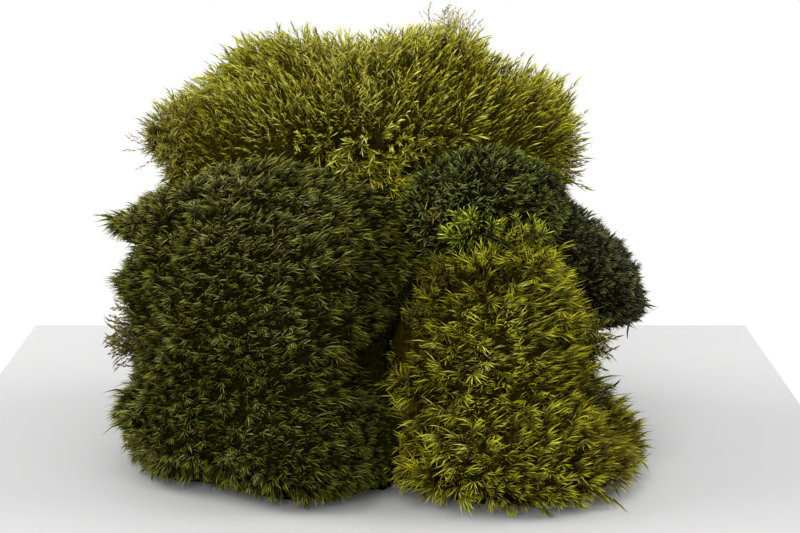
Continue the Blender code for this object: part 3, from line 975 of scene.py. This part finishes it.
def standing(node, moss, mesh, tips, neighbours, dice):
    """Where each shoot of a cushion stands, how it leans, and its size and tint."""
    low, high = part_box(node)
    feet = KDTree(len(tips))
    for number, tip in enumerate(tips):
        feet.insert(tip, number)
    feet.balance()
    turns = [dice.uniform(-TUFT_TURN, TUFT_TURN) for _ in tips]
    glows = [dice.gauss(0, 1) for _ in tips]
    stands = []
    spread = np.random.default_rng(SEED + len(node))
    for place, facing in spaced_points(mesh, moss["spacing"], spread):
        if place.z < BASE_CLEAR and facing.z < UNDERSIDE:
            continue
        share, free = outlook(place, facing, neighbours)
        if share < LEAST_OPEN:
            continue
        tip, number, _ = feet.find(place)
        gather = (tip - place) / TUFT_REACH
        gather -= facing * gather.dot(facing)
        stray = Vector([dice.gauss(0, 1) for _ in range(3)]) * moss["stray"]
        spots = near_spots(moss, place)
        lean = sum((strength * Vector(spot.lean) for strength, spot in spots), Vector((0, 0, 0)))
        way = growth(moss, place, facing, low, high)
        way = (way + free * SKY_PULL * (1 - share) ** 2).normalized()
        way = (way + gather * moss["gather"] + stray + lean).normalized()
        hook = hook_way(moss, place, facing, way, low, high, stray, turns[number])
        stands_tall = dice.random() < TALL_SHARE
        size = shoot_size(stands_tall, min(1.0, gather.length), spots, dice)
        tint = shoot_tint(node, place, stands_tall, glows[number], share, spots, dice)
        foot = place + facing * (lump(moss, place, spots) - moss["root"])
        while not within_reach(foot + way * size * (moss["stem"] + moss["leaf"])):
            size *= SHRINK
        kind = dice.randrange(SHOOT_KINDS)
        stands.append(Stand(kind, foot, (hook, way.cross(hook), way), size, tint))
    return stands


def mat_piece(node, moss, skin, neighbours):
    """The mat that the shoots grow from, its brown darkened with painted shade. It comes up to the seams,
    so that no gap shows there.
    """
    form = bmesh.new()
    form.from_mesh(skin)
    form.normal_update()
    low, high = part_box(node)
    middle = (low + high) / 2
    moved = []
    for vertex in form.verts:
        rough = noise.noise(vertex.co / ROUGH_SIZE) * ROUGH_HEIGHT
        room = neighbours.find_nearest(vertex.co)[3]
        sunk = min(1.0, room / SEAM_ROOM)
        rise = lump(moss, vertex.co, near_spots(moss, vertex.co))
        rise -= FOOT_SINK * near_foot(vertex.co)
        place = vertex.co + vertex.normal * (rise - moss["mat"] - rough) * sunk
        inset = FOOT_INSET * sunk * near_foot(vertex.co)
        place.x += (middle.x - place.x) * inset
        place.y += (middle.y - place.y) * inset
        if vertex.co.z < BASE_CLEAR:
            place.z = FLOOR_CLEAR
        moved.append(place)
    for vertex, place in zip(form.verts, moved):
        vertex.co = place
        vertex.co.z = max(vertex.co.z, FLOOR_CLEAR)
    mesh = bpy.data.meshes.new(f"{node}_mat")
    form.to_mesh(mesh)
    form.free()
    mesh.shade_smooth()
    mesh.materials.append(mat_material(f"{node}_mat", moss))
    dress(node, new_object(mesh.name, mesh))


def shoot_pieces(node, moss, stands, dice):
    """The cushion's shoots, as one or a few pieces from front to rear."""
    kinds = [shoot(moss, dice) for _ in range(SHOOT_KINDS)]
    material = shoot_material(f"{node}_shoots", moss)
    stands = sorted(stands, key=lambda stand: stand.foot.y)
    shares = np.array_split(np.arange(len(stands)), len(moss["pieces"]))
    for word, share in zip(moss["pieces"], shares):
        chosen = [stands[number] for number in share]
        dress(node, joined_shoots(f"{node}_shoots_{word}", kinds, chosen, material))


def dress_cushions():
    """Every cushion's shoots and mat; gives the cushions' smooth forms."""
    dice = random.Random(SEED)
    skins = {node: skin_of(node) for node in MOSSES}
    for node, moss in MOSSES.items():
        skin, tips = skins[node]
        neighbours = tree_of([other for name, (other, _) in skins.items() if name != node])
        stands = standing(node, moss, skin, tips, neighbours, dice)
        shoot_pieces(node, moss, stands, dice)
        mat_piece(node, moss, skin, neighbours)
    return {node: skin for node, (skin, _) in skins.items()}


def tuft_stand(cushions, node, moss, place, way, radius, dice):
    """One shoot of a tuft: it grows on the cushions' surface near a place, fanning out with the others."""
    apart = Vector([dice.gauss(0, TUFT_STRAY) for _ in range(3)])
    grown = (Vector(way).normalized() + apart * moss["stray"]).normalized()
    hook = grown.orthogonal().normalized()
    hook.rotate(Matrix.Rotation(dice.uniform(-math.pi, math.pi), 3, grown))
    size = dice.uniform(*TUFT_SIZES)
    tint = min(MAP_HIGH, max(MAP_LOW, dice.gauss(*TUFT_TINTS)))
    kind = dice.randrange(SHOOT_KINDS)
    foot, facing, _, _ = cushions.find_nearest(Vector(place) + apart * radius)
    rise = lump(MOSSES[node], foot, near_spots(MOSSES[node], foot)) + moss["rise"]
    return Stand(kind, foot + facing * rise, (hook, grown.cross(hook), grown), size, tint)


def tussocks(skins):
    """Small tufts of other shoots: their leaves fan out from a few places on the cushions."""
    dice = random.Random(SEED)
    cushions = tree_of(skins.values())
    for name, (node, moss, rows) in TUSSOCKS.items():
        stands = [
            tuft_stand(cushions, node, moss, place, way, radius, dice)
            for place, way, radius, count in rows
            for _ in range(count)
        ]
        kinds = [shoot(moss, dice) for _ in range(SHOOT_KINDS)]
        dress(node, joined_shoots(name, kinds, stands, shoot_material(name, moss)))


def wisp(form, layer, foot, way, bend, length, width, tint):
    """One loose strand, a strip that keeps turning the same way towards its tip."""
    strip = bmesh.ops.create_grid(form, x_segments=1, y_segments=STRAND_STEPS, size=0.5)["verts"]
    axis = way.cross(bend).normalized()
    centres = [foot.copy()]
    for step in range(STRAND_STEPS):
        turned = Matrix.Rotation(bend.length * (step + 1) / STRAND_STEPS, 3, axis) @ way
        centres.append(centres[-1] + turned * length / STRAND_STEPS)
    for vertex in strip:
        along = vertex.co.y + 0.5
        half = width / 2 * (STRAND_TAPER - along)
        across = math.copysign(1.0, vertex.co.x)
        vertex.co = centres[round(along * STRAND_STEPS)] + axis * across * half
        vertex.co.z = max(vertex.co.z, FLOOR_CLEAR)
        height = STRAND_MAP_FOOT + STRAND_MAP_SPAN * along
        vertex[layer] = Vector((tint + across * MAP_WIDTH / 2, height, 0))


def scattered_wisps(form, layer, skin, moss, row, dice):
    """The strands of one row of WISPS, each seated on the cushion's surface."""
    place, way, scatter, swing, count, length, width, curl, tint = row
    for _ in range(count):
        foot = Vector(place) + Vector([dice.gauss(0, scatter / 2) for _ in range(3)])
        foot, facing, _, _ = skin.find_nearest(foot)
        foot += facing * (lump(moss, foot, near_spots(moss, foot)) - STRAND_SINK)
        start = Vector(way).normalized() + Vector([dice.gauss(0, swing) for _ in range(3)])
        start.normalize()
        bend = start.cross(Vector([dice.gauss(0, 1) for _ in range(3)])).normalized()
        bend *= curl * dice.uniform(*STRAND_CURLS)
        shade = min(MAP_HIGH, max(MAP_LOW, tint + dice.gauss(0, STRAND_TINTS)))
        long = length * dice.uniform(*STRAND_LENGTHS)
        wisp(form, layer, foot, start, bend, long, width, shade)


def loose_strands(skins):
    """The loose strands of every cushion, one piece for each."""
    dice = random.Random(SEED)
    for node, moss in MOSSES.items():
        skin = tree_of([skins[node]])
        form = bmesh.new()
        layer = form.verts.layers.float_vector.new("chart")
        for cushion, *row in WISPS:
            if cushion == node:
                scattered_wisps(form, layer, skin, moss, row, dice)
        name = f"{node}_strands"
        charts = [vertex[layer].copy() for vertex in form.verts]
        mesh = bpy.data.meshes.new(name)
        form.to_mesh(mesh)
        form.free()
        chart = mesh.uv_layers.new(name=MAP_NAME)
        for loop in mesh.loops:
            chart.data[loop.index].uv = charts[loop.vertex_index].xy
        mesh.shade_smooth()
        mesh.materials.append(strand_material(name))
        dress(node, new_object(name, mesh))


def make_floor():
    form = bmesh.new()
    bmesh.ops.create_grid(form, x_segments=1, y_segments=1, size=0.5)
    bmesh.ops.scale(form, vec=FLOOR_SIZE, verts=form.verts[:])
    bmesh.ops.translate(form, vec=FLOOR_PLACE, verts=form.verts[:])
    mesh = bpy.data.meshes.new("floor")
    form.to_mesh(mesh)
    form.free()
    material, _, _, surface = surface_material("floor", FLOOR_ROUGHNESS, FLOOR_SHINE)
    surface.inputs["Base Color"].default_value = FLOOR_COLOUR
    mesh.materials.append(material)
    new_object("floor", mesh)


def area_light(name, place, width, height, power):
    light = bpy.data.lights.new(name, "AREA")
    light.shape = "RECTANGLE"
    light.size = width
    light.size_y = height
    light.energy = power
    light.color = SOFTBOX_COLOUR
    thing = new_object(name, light)
    thing.location = place
    thing.rotation_euler = (LIT_POINT - Vector(place)).to_track_quat("-Z", "Y").to_euler()


def light_studio():
    """The softboxes, an even fill, and a white backdrop that only the camera sees."""
    world = bpy.data.worlds.new("studio")
    world.use_nodes = True
    nodes = world.node_tree.nodes
    links = world.node_tree.links
    fill = nodes["Background"]
    fill.inputs["Color"].default_value = (*WHITE, 1.0)
    fill.inputs["Strength"].default_value = FILL_STRENGTH
    backdrop = nodes.new("ShaderNodeBackground")
    backdrop.inputs["Color"].default_value = (*WHITE, 1.0)
    rays = nodes.new("ShaderNodeLightPath")
    choose = nodes.new("ShaderNodeMixShader")
    links.new(rays.outputs["Is Camera Ray"], choose.inputs["Fac"])
    links.new(fill.outputs["Background"], choose.inputs[1])
    links.new(backdrop.outputs["Background"], choose.inputs[2])
    links.new(choose.outputs["Shader"], nodes["World Output"].inputs["Surface"])
    bpy.context.scene.world = world
    for softbox in SOFTBOXES:
        area_light(*softbox)


def make_camera():
    lens = bpy.data.cameras.new("camera")
    lens.sensor_width = SENSOR_WIDTH
    lens.lens = CAMERA_LENS
    camera = new_object("camera", lens)
    camera.location = CAMERA_PLACE
    camera.rotation_euler = (math.pi / 2 - CAMERA_PITCH, 0, 0)
    bpy.context.scene.camera = camera


bpy.context.scene.view_settings.view_transform = "Standard"
make_camera()
light_studio()
make_floor()
skins = dress_cushions()
tussocks(skins)
loose_strands(skins)
